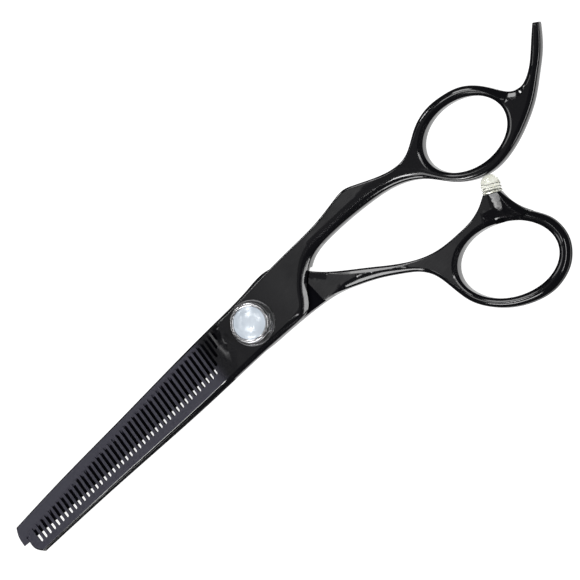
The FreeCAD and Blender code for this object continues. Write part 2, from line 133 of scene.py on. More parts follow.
BLADE_EDGE = [(-11.5, -1.1, 0, 0), (-39.0, -1.05, 0, 0), (-59.0, -0.6, 0, 0), (-74.3, 0.45, 0, 0)]
BLADE_TIP = [(-74.3, 0.45, 0, 0), (-73.85, 3.0, 0, 0), (-72.85, 4.85, 0, 0)]
BLADE_SPINE = [
    (-72.85, 4.85, 0.3, 0), (-59.0, 5.5, 0.4, 0), (-39.6, 5.9, 0.5, 0), (-7.6, 6.5, 0.6, 0),
    (4.0, 6.75, 0.6, 0), (10.0, 6.75, 0.6, 0), (12.4, 5.7, 0.6, 0), (14.6, 3.3, 0.6, 0),
    (17.6, -0.5, 0.15, 0), (20.9, -3.8, 0.35, 1), (25.0, -7.05, 1.15, 1), (28.8, -9.9, 1.3, 1),
    (33.0, -13.1, 0.9, 1), (36.5, -15.35, 0.6, 0), (39.7, -16.9, 0.5, 0), (43.7, -18.0, 0.45, 0),
    (48.5, -18.4, 0.4, 0), (53.0, -18.3, 0.5, 0), (56.2, -17.45, 0.5, 0), (58.9, -16.1, 0.3, 0),
]
STUB_FACE = [(58.9, -16.1, 0.2, 0), (62.25, -17.9, 0.2, 0)]
THUMB_OUTER_EDGE = [
    (62.25, -17.9, 0.5, 0), (62.45, -20.6, 1.2, 0), (63.1, -23.3, 1.7, 0), (64.8, -26.7, 1.9, 0),
    (66.5, -29.8, 1.9, 0), (67.1, -33.2, 1.9, 0), (66.5, -36.5, 1.9, 0), (64.8, -39.2, 1.9, 0),
    (61.9, -41.5, 1.9, 0), (59.0, -42.5, 1.9, 0), (56.1, -42.8, 1.9, 0), (53.1, -42.35, 1.9, 0),
    (49.2, -40.85, 1.9, 0), (45.3, -38.3, 1.8, 0), (42.3, -35.1, 1.8, 0), (40.3, -31.7, 1.6, 0),
    (39.4, -28.3, 1.4, 0), (39.0, -24.9, 1.0, 0), (37.9, -20.7, 0.9, 0.5), (35.9, -18.1, 1.0, 1.6),
    (32.9, -15.8, 1.4, 2), (28.9, -13.2, 1.8, 2), (24.0, -10.7, 1.9, 2), (21.4, -9.55, 1.5, 2),
    (19.6, -8.8, 0.6, 1), (18.2, -8.35, 0.25, 1), (16.2, -7.9, 0.2, 0), (11.3, -7.2, 0.2, 0),
    (4.0, -6.6, 0.2, 0), (-3.0, -6.0, 0.2, 0), (-7.0, -4.6, 0.1, 0), (-9.6, -2.0, 0.1, 0),
]
BLADE_HEEL = [(-9.6, -2.0, 0, 0), (-11.5, -1.1, 0, 0)]
THUMB_HOLE = (53.15, -30.65, 12.1, 8.6, -29.0)
HOLE_CHAMFER = 1.2          # width along a hole's edge
NEAR_HOLE = 1.0             # a wall that is nearer than this to a hole's edge is the hole's own

# Facets of the bumper's stub: each falls away on the right of its line, seen along the line
STUB_RIDGE = [(58.9, -20.0), (60.05, -16.9)]
STUB_RIDGE_SLOPE = 0.36
STUB_EDGE = [(60.4, -21.1), (62.1, -17.9)]
STUB_EDGE_SLOPE = 0.3
STUB_FOOT = [(54.4, -22.0), (55.9, -19.1), (58.9, -20.0), (60.4, -21.1), (63.0, -24.0)]
STUB_FOOT_SLOPE = 0.42
STUB_CORNER = (52.0, -26.0)     # the stub's facets are beyond this x and above this y

# The thumb lever's inner corner, where it meets the other lever, is blunted by two facets
CORNER_FACET = [(19.3, -4.6), (16.2, -0.6)]
CORNER_FACET_SLOPE = 0.15
CORNER_END = [(20.9, -3.9), (18.9, -4.9)]
CORNER_END_SLOPE = 3.0
CORNER_REACH_X = 30.0

# Where each lever drops to the plane in which they slide
FINGER_SHOULDER = [(16.2, 12.0), (16.2, 2.7), (17.3, 1.3), (18.5, -0.2), (18.5, -12.0)]
THUMB_SHOULDER = [(15.7, -12.0), (15.7, -2.5), (17.0, -1.3), (18.3, -0.3), (18.3, 12.0)]

# Where the finishes change
COMB_SATIN_X = -6.5         # the comb's top is satin on the tip's side of this
TEETH_SHADE_X = -12.0       # and the walls between its teeth get the dark matt material, painted shade in the narrow slots
BLADE_SATIN_X = -7.0
BLADE_TIP_X = -72.6         # the plain blade shows beyond the comb's tip
TOOTH_MARGIN = 0.4          # and beyond the ends of its teeth
SHADED_RING_X = 38.0         # the thumb ring's outer wall gets the dark matt material beyond this x and under this y, painted shade for the dark that it reflects there
SHADED_RING_Y = -24.0


def arc_lengths(points):
    """Length along a line of points, up to each of them."""
    steps = np.hypot(*np.diff(points[:, :2], axis=0).T)
    return np.concatenate([[0.0], np.cumsum(steps)])


def spline_slopes(s, values):
    """The slopes of a natural cubic through values at s."""
    count = len(s)
    gap = np.diff(s)
    system = np.zeros((count, count))
    right = np.zeros(count)
    system[0, :2] = 2, 1
    system[-1, -2:] = 1, 2
    right[0] = 3 * (values[1] - values[0]) / gap[0]
    right[-1] = 3 * (values[-1] - values[-2]) / gap[-1]
    for k in range(1, count - 1):
        system[k, k - 1:k + 2] = gap[k], 2 * (gap[k - 1] + gap[k]), gap[k - 1]
        after = (values[k + 1] - values[k]) / gap[k]
        before = (values[k] - values[k - 1]) / gap[k - 1]
        right[k] = 3 * (after * gap[k - 1] + before * gap[k])
    return np.linalg.solve(system, right)


def smooth_curve(points, step):
    """Samples along a smooth curve through points, each x, y, rounding width and facets."""
    points = np.array(points, float)
    s = arc_lengths(points)
    if len(points) == 2:
        fractions = np.linspace(0, 1, max(2, int(s[-1] / step) + 1))[:, None]
        return points[0] + fractions * (points[1] - points[0])
    at = np.linspace(0, s[-1], int(s[-1] / step) + 2)
    k = np.clip(np.searchsorted(s, at) - 1, 0, len(s) - 2)
    gap = s[k + 1] - s[k]
    u = (at - s[k]) / gap
    columns = []
    for axis in range(2):
        value = points[:, axis]
        slope = spline_slopes(s, value)
        columns.append(
            value[k] * (1 + 2 * u) * (1 - u) ** 2 + slope[k] * gap * u * (1 - u) ** 2
            + value[k + 1] * u ** 2 * (3 - 2 * u) - slope[k + 1] * gap * u ** 2 * (1 - u)
        )
    columns += [np.interp(at, s, points[:, 2]), np.interp(at, s, points[:, 3])]
    return np.stack(columns, axis=1)


CHAMFERED = -2.0            # facets of a chamfered edge, as edge_drop says


def hole_curve(hole, width, step):
    """The samples of an elliptical hole with a chamfered edge, clockwise."""
    x, y, long_axis, short_axis, tilt = hole
    count = int(2 * math.pi * (long_axis + short_axis) / 2 / step)
    angle = -2 * math.pi * np.arange(count + 1) / count
    across, along = long_axis * np.cos(angle), short_axis * np.sin(angle)
    turn = math.radians(tilt)
    return np.stack([
        x + across * math.cos(turn) - along * math.sin(turn),
        y + across * math.sin(turn) + along * math.cos(turn),
        np.full(count + 1, width),
        np.full(count + 1, CHAMFERED),
    ], axis=1)


# --- lever meshes -----------------------------------------------------------------------------------

EDGE_STEP = 0.35            # between the samples along an outline
ROUND_STEPS = 10            # strips across a rounded edge
GRID_SPACING = 1.0          # of the points on the flats
GRID_ROW = 0.87             # height of the grid's staggered rows for its spacing
GRID_CLEARANCE = 0.25       # of the grid from the roundings
LAST_ROW_GAP = 0.06         # of the row of points just past a rounding
ROW_STEP = 0.4              # between the points of a crease
ROW_OFFSET = 0.04           # of a crease's two rows of points to either side
DEPTH_BELOW = 1.2           # how deep the underside's rounding goes for its width
DEEPEST_ROUND = 2.3
SHARP_WIDTH = 0.05          # a narrower rounding than this is left out
MOST_DROP = 0.46            # of the thickness, that a rounding may take from each face
LEVEL_DROP = 0.004          # a place that has fallen less than this is on the flat
INNER_SCALE = 0.05          # of the roundings, on the faces in which the levers slide
SHARP_ANGLE = math.radians(12)
RING_SHARE = 0.62           # of a ring's band, from the outer edge to the ridge
# the third finish is painted shade: a darker, barely reflecting copy of the gloss coating
GLOSS, SATIN, SHADE_MATTE = range(3)      # the levers' finishes, in the order of their materials

FACET_SLOPE = 0.63          # fall of a flat facet for its width
LEAD_SLOPE = 0.365          # of the narrow lead-in before a single facet
LEAD_WIDTH = 0.2
LEAD_SHARE = 0.4            # the most of the width that the lead-in takes
DARK_SLOPE = 0.42           # of the dark one of two facets
DARK_SHARE = 0.42
SWEEP_CURVE = 0.5           # how a swept edge bends before its steep facet
SWEEP_SLOPE = 0.8
SWEEP_SHARE = 0.5
CHAMFER_SLOPES = (0.33, 0.93)       # of a chamfer, and of its steeper part along the edge
CHAMFER_SHARE = 0.3
OUTLINE_WIDTH = 0.4         # of the steeper strip along a facet's outer edge
OUTLINE_SHARE = 0.45        # the most of the facet's width that the strip takes
OUTLINE_SLOPE = 0.38        # by which it is steeper


class Side:
    """One stretch of a lever's edge: samples of x, y, rounding width and facets, with normals into the metal.

    depth is how deep the rounding goes for its width, and under the widest that it gets along the underside.
    """

    def __init__(self, samples, depth=1.2, under=0.6):
        self.samples = samples
        self.rows = samples.tolist()
        self.depth = depth
        self.under = under
        self.closed = bool(np.allclose(samples[0, :2], samples[-1, :2]))
        along = np.gradient(samples[:, :2], axis=0)
        along /= np.hypot(*along.T)[:, None]
        self.inward = np.stack([-along[:, 1], along[:, 0]], axis=1)
        self.tree = kdtree.KDTree(len(samples))
        for number, (x, y) in enumerate(samples[:, :2]):
            self.tree.insert((x, y, 0), number)
        self.tree.balance()

    def nearest(self, x, y):
        """Distance to the side, and the rounding's width and facets there."""
        number = self.tree.find((x, y, 0))[1]
        best = None
        for start in (number - 1, number):
            if self.closed:
                start %= len(self.rows) - 1
            if not 0 <= start < len(self.rows) - 1:
                continue
            x1, y1, width1, facets1 = self.rows[start]
            x2, y2, width2, facets2 = self.rows[start + 1]
            dx, dy = x2 - x1, y2 - y1
            part = min(max(((x - x1) * dx + (y - y1) * dy) / (dx * dx + dy * dy), 0.0), 1.0)
            gap = math.hypot(x - x1 - part * dx, y - y1 - part * dy)
            if best is None or gap < best[0]:
                best = gap, width1 + part * (width2 - width1), facets1 + part * (facets2 - facets1)
        return best

    def share_band_with(self, other, share):
        """Narrows the rounding where this side and the other one together are wider than the metal."""
        for sample in self.samples:
            band = other.nearest(sample[0], sample[1])[0]
            sample[2] = min(sample[2], share * band)
        self.rows = self.samples.tolist()


def share_ring(hole, sides):
    """Divides a ring's band between the roundings of its outer sides and its hole's chamfer."""
    for side in sides:
        side.share_band_with(hole, RING_SHARE)
        hole.share_band_with(side, 1 - RING_SHARE)


def two_slopes(inside, first, second, change):
    """Fall for a width of one, of a facet that gets steeper part of the way to the edge."""
    return first * min(inside, change) + second * max(0.0, inside - change)


def edge_drop(distance, width, facets, depth):
    """How far the surface has fallen at a distance from an edge.

    facets says how the edge is made: 0 round, 1 a facet with a narrow lead-in, 2 a dark and a bright
    facet, -1 a sweep that ends in a steep facet, -2 a chamfer.  Between -1 and 2 the shapes blend.
    """
    if distance >= width or width < SHARP_WIDTH:
        return 0.0
    inside = 1 - distance / width
    if facets < -1:
        return width * two_slopes(inside, *CHAMFER_SLOPES, CHAMFER_SHARE)
    rounded = depth * (1 - math.sqrt(max(0.0, 1 - inside * inside)))
    if facets < 0:
        curved = SWEEP_CURVE * min(inside, SWEEP_SHARE) ** 2
        swept = width * (curved + SWEEP_SLOPE * max(0.0, inside - SWEEP_SHARE))
        return (1 + facets) * rounded - facets * swept
    strip = max(0.0, min(OUTLINE_WIDTH, OUTLINE_SHARE * width) - distance)
    outline = OUTLINE_SLOPE * strip / width
    lead = min(LEAD_SHARE, LEAD_WIDTH / width)
    one = width * (two_slopes(inside, LEAD_SLOPE, FACET_SLOPE, lead) + outline)
    if facets <= 1:
        return (1 - facets) * rounded + facets * one
    two = width * (two_slopes(inside, DARK_SLOPE, FACET_SLOPE, DARK_SHARE) + outline)
    return (2 - facets) * one + (facets - 1) * two


def inside_loops(points, loops):
    """True for the points that are in the metal, by counting the loops' edges to their right."""
    crossings = np.zeros(len(points), int)
    for loop in loops:
        for (x1, y1), (x2, y2) in zip(loop, np.roll(loop, -1, axis=0)):
            if y1 == y2:
                continue
            between = (points[:, 1] > min(y1, y2)) & (points[:, 1] <= max(y1, y2))
            cut = x1 + (points[:, 1] - y1) * (x2 - x1) / (y2 - y1)
            crossings += between & (cut > points[:, 0])
    return crossings % 2 == 1


def edge_points(sides):
    """Rows of points that follow the rounded edges, each x, y and its distance from the edge."""
    points = []
    for side in sides:
        for (x, y, width, _), (across, along) in zip(side.samples[1:-1], side.inward[1:-1]):
            if width < SHARP_WIDTH:
                continue
            turns = [math.pi / 2 * step / ROUND_STEPS for step in range(ROUND_STEPS)]
            for distance in [width + LAST_ROW_GAP] + [width * (1 - math.sin(turn)) for turn in turns]:
                points.append((x + across * distance, y + along * distance, distance))
    return points


def grid_points(sides, spacing):
    """A grid of staggered rows over the sides' box, each point x, y and None."""
    points = []
    low = np.min([side.samples.min(axis=0) for side in sides], axis=0)
    high = np.max([side.samples.max(axis=0) for side in sides], axis=0)
    row = 0
    y = low[1]
    while y < high[1]:
        x = low[0] + spacing * (row % 2) / 2
        while x < high[0]:
            points.append((x, y, None))
            x += spacing
        y += spacing * GRID_ROW
        row += 1
    return points


def surface_points(sides):
    """The edges' rows and the flats' grid, without the points that come too near to another edge."""
    kept = []
    for x, y, distance in edge_points(sides) + grid_points(sides, GRID_SPACING):
        reach = [side.nearest(x, y) for side in sides]
        if distance is None:
            clear = all(gap > width + GRID_CLEARANCE for gap, width, _ in reach)
        else:
            clear = min(gap for gap, _, _ in reach) > 0.9 * distance - 0.01
        if clear:
            kept.append((x, y))
    return np.array(kept)


def triangulate(outlines, inner):
    """The triangles inside the outlines and through the inner points: corners, faces and outline edges."""
    edges = []
    start = 0
    for outline in outlines:
        count = len(outline)
        edges += [(start + k, start + (k + 1) % count) for k in range(count)]
        start += count
    points = [Vector(p) for p in np.concatenate(outlines + [inner])]
    placed, _, faces, origins, _, _ = delaunay_2d_cdt(points, edges, [], 0, 1e-6)
    corner_of = {}
    for number, sources in enumerate(origins):
        for source in sources:
            corner_of[source] = number
    corners = np.array([tuple(p) for p in placed])
    middles = np.array([corners[list(face)].mean(axis=0) for face in faces])
    faces = [tuple(face) for face, inside in zip(faces, inside_loops(middles, outlines)) if inside]
    return corners, faces, [(corner_of[first], corner_of[second]) for first, second in edges]


def surface_heights(corners, sides, top, bottom, scale, below):
    """Heights of the top over the corners, or of the underside below, with the roundings taken off."""
    heights = []
    for x, y in corners.tolist():
        drop = 0.0
        for side in sides:
            gap, width, facets = side.nearest(x, y)
            depth = min(side.depth * width, DEEPEST_ROUND)
            if below:
                width, facets = min(width, side.under), 0
                depth = DEPTH_BELOW * width
            drop = max(drop, scale(x, y) * edge_drop(gap, width, facets, depth))
        low, high = bottom(x, y), top(x, y)
        drop = min(drop, MOST_DROP * (high - low))
        heights.append(low + drop if below else high - drop)
    return heights


def paint_finishes(mesh, corners, drops, finish, wall_finish):
    """Gives the walls and the flats of the top their finishes.  All else keeps the first material."""
    count = len(corners)
    for polygon in mesh.polygons:
        numbers = list(polygon.vertices)
        if min(numbers) < count <= max(numbers):
            middle = np.mean([corners[k % count] for k in numbers], axis=0)
            polygon.material_index = wall_finish(*middle)
        elif max(numbers) < count and drops[numbers].max() < LEVEL_DROP:
            polygon.material_index = finish(*corners[numbers].mean(axis=0))


def build_lever(name, loops, top, bottom, top_scale, bottom_scale, rows, finish, wall_finish, materials):
    """A solid between two height functions, inside the first loop and outside the others.

    Each loop is a list of sides.  The scales say how deep the roundings are at a place, 0 to 1.
    """
    sides = [side for loop in loops for side in loop]
    outlines = [np.concatenate([side.samples[:-1, :2] for side in loop]) for loop in loops]
    inner = np.concatenate([surface_points(sides), rows])
    inner = inner[inside_loops(inner, outlines)]
    corners, faces, edges = triangulate(outlines, inner)
    count = len(corners)
    upper = surface_heights(corners, sides, top, bottom, top_scale, False)
    lower = surface_heights(corners, sides, top, bottom, bottom_scale, True)
    vertices = [(x * MM, y * MM, z * MM) for heights in (upper, lower) for (x, y), z in zip(corners, heights)]
    underside = [tuple(count + k for k in reversed(face)) for face in faces]
    walls = [(count + a, count + b, b, a) for a, b in edges]
    mesh = bpy.data.meshes.new(name)
    mesh.from_pydata(vertices, [], faces + underside + walls)
    for material in materials:
        mesh.materials.append(material)
    drops = np.array([abs(z - top(x, y)) for (x, y), z in zip(corners, upper)])
    paint_finishes(mesh, corners, drops, finish, wall_finish)
    mesh.shade_smooth()
    mesh.set_sharp_from_angle(angle=SHARP_ANGLE)
    lever = bpy.data.objects.new(name, mesh)
    bpy.context.scene.collection.objects.link(lever)
    return lever


def right_of(shoulder, x, y):
    """True beyond a shoulder line, which runs along the lever's width."""
    points = sorted(shoulder, key=lambda point: point[1])
    return x > np.interp(y, [p[1] for p in points], [p[0] for p in points])


def fall_beyond(line, slope, x, y):
    """How far a facet has fallen on the right of a line, or of the nearest part of a bent one."""
    falls = []
    for (x1, y1), (x2, y2) in zip(line, line[1:]):
        falls.append(((x - x1) * (y2 - y1) - (y - y1) * (x2 - x1)) / math.hypot(x2 - x1, y2 - y1))
    return slope * max(0.0, min(falls))


def shoulder_rows(shoulder):
    """Two close rows of points either side of a shoulder, so that its wall is steep."""
    rows = []
    for (x1, y1), (x2, y2) in zip(shoulder, shoulder[1:]):
        length = math.hypot(x2 - x1, y2 - y1)
        for step in range(int(length / ROW_STEP) + 1):
            part = step * ROW_STEP / length
            for offset in (-ROW_OFFSET, ROW_OFFSET):
                rows.append((x1 + (x2 - x1) * part + offset, y1 + (y2 - y1) * part))
    return np.array(rows)


def ground_height(x, grind):
    """A ground face's height over the ride plane along the blade, with the round where it runs out."""
    if x < grind.heel_x:
        fraction = (grind.heel_x - x) / (GRIND_LENGTH + grind.heel_x)
        return grind.heel + (grind.tip - grind.heel) * fraction
    run = min((x - grind.heel_x) / GRIND_ROUND, 1.0)
    return grind.heel + GRIND_ROUND_HEIGHT * (1 - math.sqrt(max(0.0, 1 - run * run)))


def comb_side():
    """The teeth, from the heel to the tip: the curve of their ends with each slot cut down from it."""
    curve = smooth_curve(TOOTH_TIPS, TOOTH_STEP)[:, :2]
    curve = curve[np.argsort(curve[:, 0])]
    lean = math.tan(math.radians(SLOT_LEAN))
    side = [tuple(curve[-1])]
    for number in reversed(range(TEETH_SLOTS)):
        x = FIRST_SLOT_X + number * SLOT_PITCH
        bottom = GULLET_Y + GULLET_SLOPE * (x - FIRST_SLOT_X) + max(0.0, RUN_OUT_SLOPE * (x - RUN_OUT_X))
        bottom += SLOT_WIDTH / 2
        walls = []
        for half in (SLOT_WIDTH / 2, -SLOT_WIDTH / 2):
            mouth = np.interp(x + half, curve[:, 0], curve[:, 1])
            mouth = np.interp(x + half + lean * (mouth - bottom), curve[:, 0], curve[:, 1])
            steps = max(2, int((mouth - bottom) / TOOTH_WALL_STEP) + 1)
            heights = np.linspace(mouth, bottom, steps)
            walls.append([(x + half + lean * (y - bottom), y) for y in heights])
        gullet = [
            (x + SLOT_WIDTH / 2 * math.cos(angle), bottom - SLOT_WIDTH / 2 * math.sin(angle))
            for angle in np.linspace(0, math.pi, 7)[1:-1]
        ]
        side += walls[0] + gullet + walls[1][::-1]
    side.append(tuple(curve[0]))
    return Side(np.array([(x, y, 0.0, 0.0) for x, y in side]))


def circle_side(radius, step=0.4):
    """A round hole with a sharp edge, clockwise."""
    count = int(2 * math.pi * radius / step)
    angle = -2 * math.pi * np.arange(count + 1) / count
    level = np.zeros(count + 1)
    return Side(np.stack([radius * np.cos(angle), radius * np.sin(angle), level, level], axis=1))


def full_depth(x, y):
    """The scale of the roundings on an outer face."""
    return 1.0


def finger_lever_mesh(materials):
    """The comb blade, pivot plate, shank, finger ring and tang."""
    edge = Side(smooth_curve(COMB_SPINE, EDGE_STEP), depth=0.45, under=0.5)
    tang_tip = Side(smooth_curve(TANG_TIP, EDGE_STEP))
    upper = Side(smooth_curve(FINGER_TOP_EDGE, EDGE_STEP), depth=1.3, under=0.8)
    teeth = comb_side()
    tip = Side(smooth_curve(COMB_TIP, EDGE_STEP))
    hole = Side(hole_curve(FINGER_HOLE, HOLE_CHAMFER, EDGE_STEP), depth=0.7, under=0.3)
    share_ring(hole, (edge, upper))

    def top(x, y):
        flat = LEVER_TOP - RING_LEAN * max(0.0, x - RING_LEAN_X)
        if x >= PLATE_END_X:
            return flat
        return min(flat, RIDE + ground_height(x, COMB_GRIND) - COMB_GRIND.slope * (y - COMB_GRIND.level_y))

    def bottom(x, y):
        return LEVER_BOTTOM if right_of(FINGER_SHOULDER, x, y) else FINGER_INNER

    def under(x, y):
        return 1.0 if right_of(FINGER_SHOULDER, x, y) else INNER_SCALE

    def finish(x, y):
        return SATIN if x < COMB_SATIN_X else GLOSS

    def wall_finish(x, y):
        # painted shade: the walls between the teeth take the dark matt material
        return SHADE_MATTE if x < TEETH_SHADE_X else GLOSS

    loops = [[edge, tang_tip, upper, teeth, tip], [hole], [circle_side(PIVOT_BORE_RADIUS)]]
    rows = shoulder_rows(FINGER_SHOULDER)
    return build_lever(
        "finger_lever_finish", loops, top, bottom, full_depth, under, rows, finish, wall_finish, materials
    )


def thumb_lever_mesh(materials):
    """The plain blade, pivot plate, shank, thumb ring and bumper's stub."""
    # The stretches are listed clockwise, and are turned round so that their normals point into the metal
    blade_edge = Side(smooth_curve(BLADE_EDGE[::-1], 1.0))
    blade_tip = Side(smooth_curve(BLADE_TIP[::-1], 0.3))
    upper = Side(smooth_curve(BLADE_SPINE[::-1], EDGE_STEP), depth=1.3, under=0.8)
    stub_face = Side(smooth_curve(STUB_FACE[::-1], 0.2))
    outer = Side(smooth_curve(THUMB_OUTER_EDGE[::-1], EDGE_STEP), depth=1.3, under=1.6)
    heel = Side(smooth_curve(BLADE_HEEL[::-1], 0.4))
    hole = Side(hole_curve(THUMB_HOLE, HOLE_CHAMFER, EDGE_STEP), depth=0.7, under=0.3)
    share_ring(hole, (upper, outer))
    tips = np.array(TOOTH_TIPS[::-1])

    def top(x, y):
        if not right_of(THUMB_SHOULDER, x, y):
            return THUMB_INNER
        if x < CORNER_REACH_X:
            facet = fall_beyond(CORNER_FACET, CORNER_FACET_SLOPE, x, y)
            return LEVER_TOP - min(facet, fall_beyond(CORNER_END, CORNER_END_SLOPE, x, y))
        if x <= STUB_CORNER[0] or y <= STUB_CORNER[1]:
            return LEVER_TOP
        ridge = fall_beyond(STUB_RIDGE, STUB_RIDGE_SLOPE, x, y)
        edge = fall_beyond(STUB_EDGE, STUB_EDGE_SLOPE, x, y)
        return LEVER_TOP - max(ridge + edge, fall_beyond(STUB_FOOT, STUB_FOOT_SLOPE, x, y))

    def bottom(x, y):
        if x >= PLATE_END_X_BELOW:
            return LEVER_BOTTOM
        ground = RIDE - ground_height(x, BLADE_GRIND) + BLADE_GRIND.slope * (BLADE_GRIND.level_y - y)
        return max(LEVER_BOTTOM, ground)

    def above(x, y):
        return 1.0 if right_of(THUMB_SHOULDER, x, y) else INNER_SCALE

    def finish(x, y):
        if right_of(THUMB_SHOULDER, x, y):
            return GLOSS
        # painted shade: the inner face seen through the slots, under the finger lever and in the recess takes
        # the dark matt material. Only the strip beyond the teeth and the tip is satin
        beyond_teeth = y > np.interp(x, tips[:, 0], tips[:, 1]) - TOOTH_MARGIN or x < BLADE_TIP_X
        return SATIN if x < BLADE_SATIN_X and beyond_teeth else SHADE_MATTE

    def wall_finish(x, y):
        outside = hole.nearest(x, y)[0] > NEAR_HOLE
        # painted shade: the ring's outer wall, away from the hole, is darkened with the dark matt material
        return SHADE_MATTE if x > SHADED_RING_X and y < SHADED_RING_Y and outside else GLOSS

    loops = [[blade_edge, heel, outer, stub_face, upper, blade_tip], [hole]]
    creases = (THUMB_SHOULDER, STUB_RIDGE, STUB_EDGE, STUB_FOOT, CORNER_FACET, CORNER_END)
    rows = np.concatenate([shoulder_rows(crease) for crease in creases])
    return build_lever(
        "thumb_lever_finish", loops, top, bottom, above, full_depth, rows, finish, wall_finish, materials
    )


BORE_RINGS = ((0.7, 0.0), (1.1, 0.0), (1.25, -0.05))    # radius, and how far towards the hole
BORE_CORNERS = 24
BORE_PROUD = 0.07           # of the hole's wall
BORE_DISH = 0.02            # of the mouth's middle


def bore_shade_disc(material):
    """Painted shade: a dark disc in the dark matt material, set just proud of the thumb hole's wall where the
    bumper's bore comes out, standing in for the shade inside the bore.
    """
    (left, upper), (right, lower) = STUB_FACE[0][:2], STUB_FACE[1][:2]
    face = Vector((right - left, lower - upper, 0)).normalized()
    inward = Vector((face.y, -face.x, 0))
    start = Vector(((left + right) / 2, (upper + lower) / 2, RIDE))
    # The mouth is where a line from the middle of the stub's face meets the hole's wall
    wall = Side(hole_curve(THUMB_HOLE, 0, EDGE_STEP))
    reach = min(np.arange(4.0, 9.0, 0.01), key=lambda t: wall.nearest(*(start + inward * t)[:2])[0])
    middle = start + inward * (reach + BORE_PROUD)
    vertices = [tuple((middle - inward * BORE_DISH) * MM)]
    for radius, rise in BORE_RINGS:
        for number in range(BORE_CORNERS):
            angle = 2 * math.pi * number / BORE_CORNERS
            spot = middle + face * radius * math.cos(angle) + Vector((0, 0, radius * math.sin(angle)))
            vertices.append(tuple((spot + inward * rise) * MM))
    faces = [(0, 1 + k, 1 + (k + 1) % BORE_CORNERS) for k in range(BORE_CORNERS)]
    for ring in range(len(BORE_RINGS) - 1):
        first = 1 + ring * BORE_CORNERS
        second = first + BORE_CORNERS
        for k in range(BORE_CORNERS):
            following = (k + 1) % BORE_CORNERS
            faces.append((first + k, second + k, second + following, first + following))
    mesh = bpy.data.meshes.new("bumper_bore_shade_disc")
    mesh.from_pydata(vertices, [], faces)
    # painted shade: the disc takes the dark matt material
    mesh.materials.append(material)
    mesh.shade_smooth()
    piece = bpy.data.objects.new("bumper_bore_shade_disc", mesh)
    bpy.context.scene.collection.objects.link(piece)
    return piece


# --- node helpers -----------------------------------------------------------------------------------

def new_material(name):
    """A material with its nodes, links and shader."""
    material = bpy.data.materials.new(name)
    material.use_nodes = True
    nodes = material.node_tree.nodes
    return material, nodes, material.node_tree.links, nodes["Principled BSDF"]


def add_noise(nodes, links, scale, detail=4.0, stretch=(1, 1, 1)):
    """Noise in the object's own coordinates, which are the row frame's, in metres."""
    place = nodes.new("ShaderNodeTexCoord")
    mapping = nodes.new("ShaderNodeMapping")
    mapping.inputs["Scale"].default_value = stretch
    noise = nodes.new("ShaderNodeTexNoise")
    noise.inputs["Scale"].default_value = scale
    noise.inputs["Detail"].default_value = detail
    links.new(place.outputs["Object"], mapping.inputs["Vector"])
    links.new(mapping.outputs["Vector"], noise.inputs["Vector"])
    return noise


def add_range(nodes, links, value, low, high):
    """Spreads noise, which lies mostly between 0.3 and 0.7, from low to high."""
    spread = nodes.new("ShaderNodeMapRange")
    spread.inputs["From Min"].default_value = 0.3
    spread.inputs["From Max"].default_value = 0.7
    spread.inputs["To Min"].default_value = low
    spread.inputs["To Max"].default_value = high
    links.new(value, spread.inputs["Value"])
    return spread.outputs["Result"]


def add_bump(nodes, links, height, distance, strength, shader):
    """Small relief of a surface, distance deep in metres."""
    bump = nodes.new("ShaderNodeBump")
    bump.inputs["Distance"].default_value = distance
    bump.inputs["Strength"].default_value = strength
    links.new(height, bump.inputs["Height"])
    links.new(bump.outputs["Normal"], shader.inputs["Normal"])


# --- materials --------------------------------------------------------------------------------------

BLACK_IOR = 1.42
BLACK_COATING = (0.004, 0.004, 0.005, 1)
SATIN_FADE = (-15.5 * MM, -11.5 * MM)   # along x, where the comb's ground face runs out


def gloss_black():
    """Glossy black coating, with faint hairlines and a little wear in its gloss."""
    material, nodes, links, shader = new_material("gloss_black_coating")
    shader.inputs["Base Color"].default_value = BLACK_COATING
    shader.inputs["IOR"].default_value = BLACK_IOR
    hairlines = add_noise(nodes, links, 1.0, 3.0, (400.0, 4000.0, 4000.0))
    handled = add_noise(nodes, links, 120.0)
    gloss = nodes.new("ShaderNodeMath")
    gloss.operation = "ADD"
    links.new(add_range(nodes, links, hairlines.outputs["Fac"], 0.03, 0.06), gloss.inputs[0])
    links.new(add_range(nodes, links, handled.outputs["Fac"], 0.04, 0.09), gloss.inputs[1])
    links.new(gloss.outputs["Value"], shader.inputs["Roughness"])
    add_bump(nodes, links, handled.outputs["Fac"], 0.00002, 0.05, shader)
    return material


def satin_black():
    """The blades' ground faces: brushed across, and fading into the gloss where the grind runs out."""
    material, nodes, links, shader = new_material("satin_black_grind")
    place = nodes.new("ShaderNodeTexCoord")
    parts = nodes.new("ShaderNodeSeparateXYZ")
    links.new(place.outputs["Object"], parts.inputs["Vector"])
    fade = nodes.new("ShaderNodeMapRange")
    fade.interpolation_type = "SMOOTHSTEP"
    fade.inputs["From Min"].default_value = SATIN_FADE[0]
    fade.inputs["From Max"].default_value = SATIN_FADE[1]
    links.new(parts.outputs["X"], fade.inputs["Value"])
    colour = nodes.new("ShaderNodeMix")
    colour.data_type = "RGBA"
    colour.inputs["A"].default_value = (0.019, 0.0185, 0.029, 1)
    colour.inputs["B"].default_value = BLACK_COATING
    links.new(fade.outputs["Result"], colour.inputs["Factor"])
    links.new(colour.outputs["Result"], shader.inputs["Base Color"])
    shader.inputs["IOR"].default_value = BLACK_IOR
    brushed = add_noise(nodes, links, 1.0, 3.0, (9000.0, 500.0, 500.0))
    roughness = nodes.new("ShaderNodeMix")
    roughness.inputs["B"].default_value = 0.2
    links.new(fade.outputs["Result"], roughness.inputs["Factor"])
    links.new(add_range(nodes, links, brushed.outputs["Fac"], 0.3, 0.42), roughness.inputs["A"])
    links.new(roughness.outputs["Result"], shader.inputs["Roughness"])
    add_bump(nodes, links, brushed.outputs["Fac"], 0.000004, 0.5, shader)
    return material


